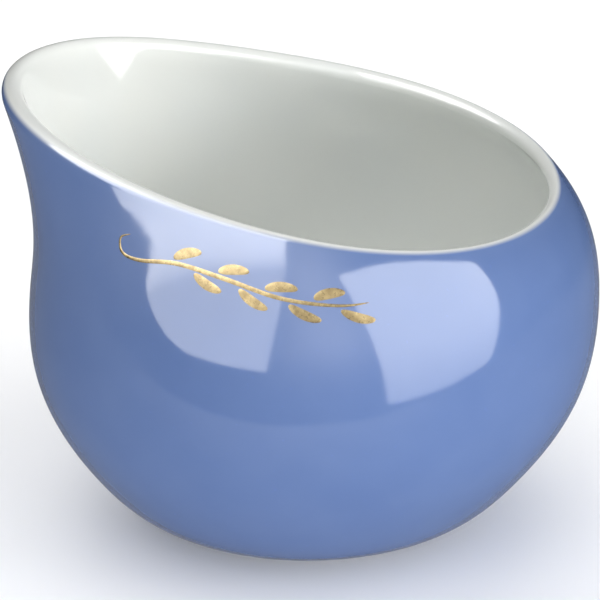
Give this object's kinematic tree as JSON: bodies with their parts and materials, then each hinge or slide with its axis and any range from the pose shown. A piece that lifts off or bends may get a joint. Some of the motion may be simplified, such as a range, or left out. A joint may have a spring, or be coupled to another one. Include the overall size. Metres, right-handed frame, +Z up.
{
  "type": "shaving mug",
  "caption": "Handle-less glazed porcelain shaving mug with a round belly, a sloping egg-shaped mouth and one high flared lip, for working up shaving lather.",
  "frame": {"origin": "on the surface that the mug stands on, under the centre of its bounding box; the standing ring's centre is 1.2 mm towards +X", "axes": "+Z up, +X towards the low side of the mouth, -X towards the high lip, -Y towards the side with the gold sprig"},
  "size_m": [0.106, 0.1042, 0.0805],
  "materials": {
    "bisque_porcelain": "matte",
    "blue_glaze": "gloss",
    "white_glaze": "gloss",
    "fired_gold": "satin"
  },
  "bodies": {
    "root": {"porcelain_body": "bisque_porcelain", "blue_outer_glaze": "blue_glaze", "white_inner_glaze": "white_glaze", "blue_base_glaze": "blue_glaze", "gold_stem": "fired_gold", "gold_leaf_1": "fired_gold", "gold_leaf_2": "fired_gold", "gold_leaf_3": "fired_gold", "gold_leaf_4": "fired_gold", "gold_leaf_5": "fired_gold", "gold_leaf_6": "fired_gold", "gold_leaf_7": "fired_gold", "gold_leaf_8": "fired_gold"}
  },
  "joints": []
}
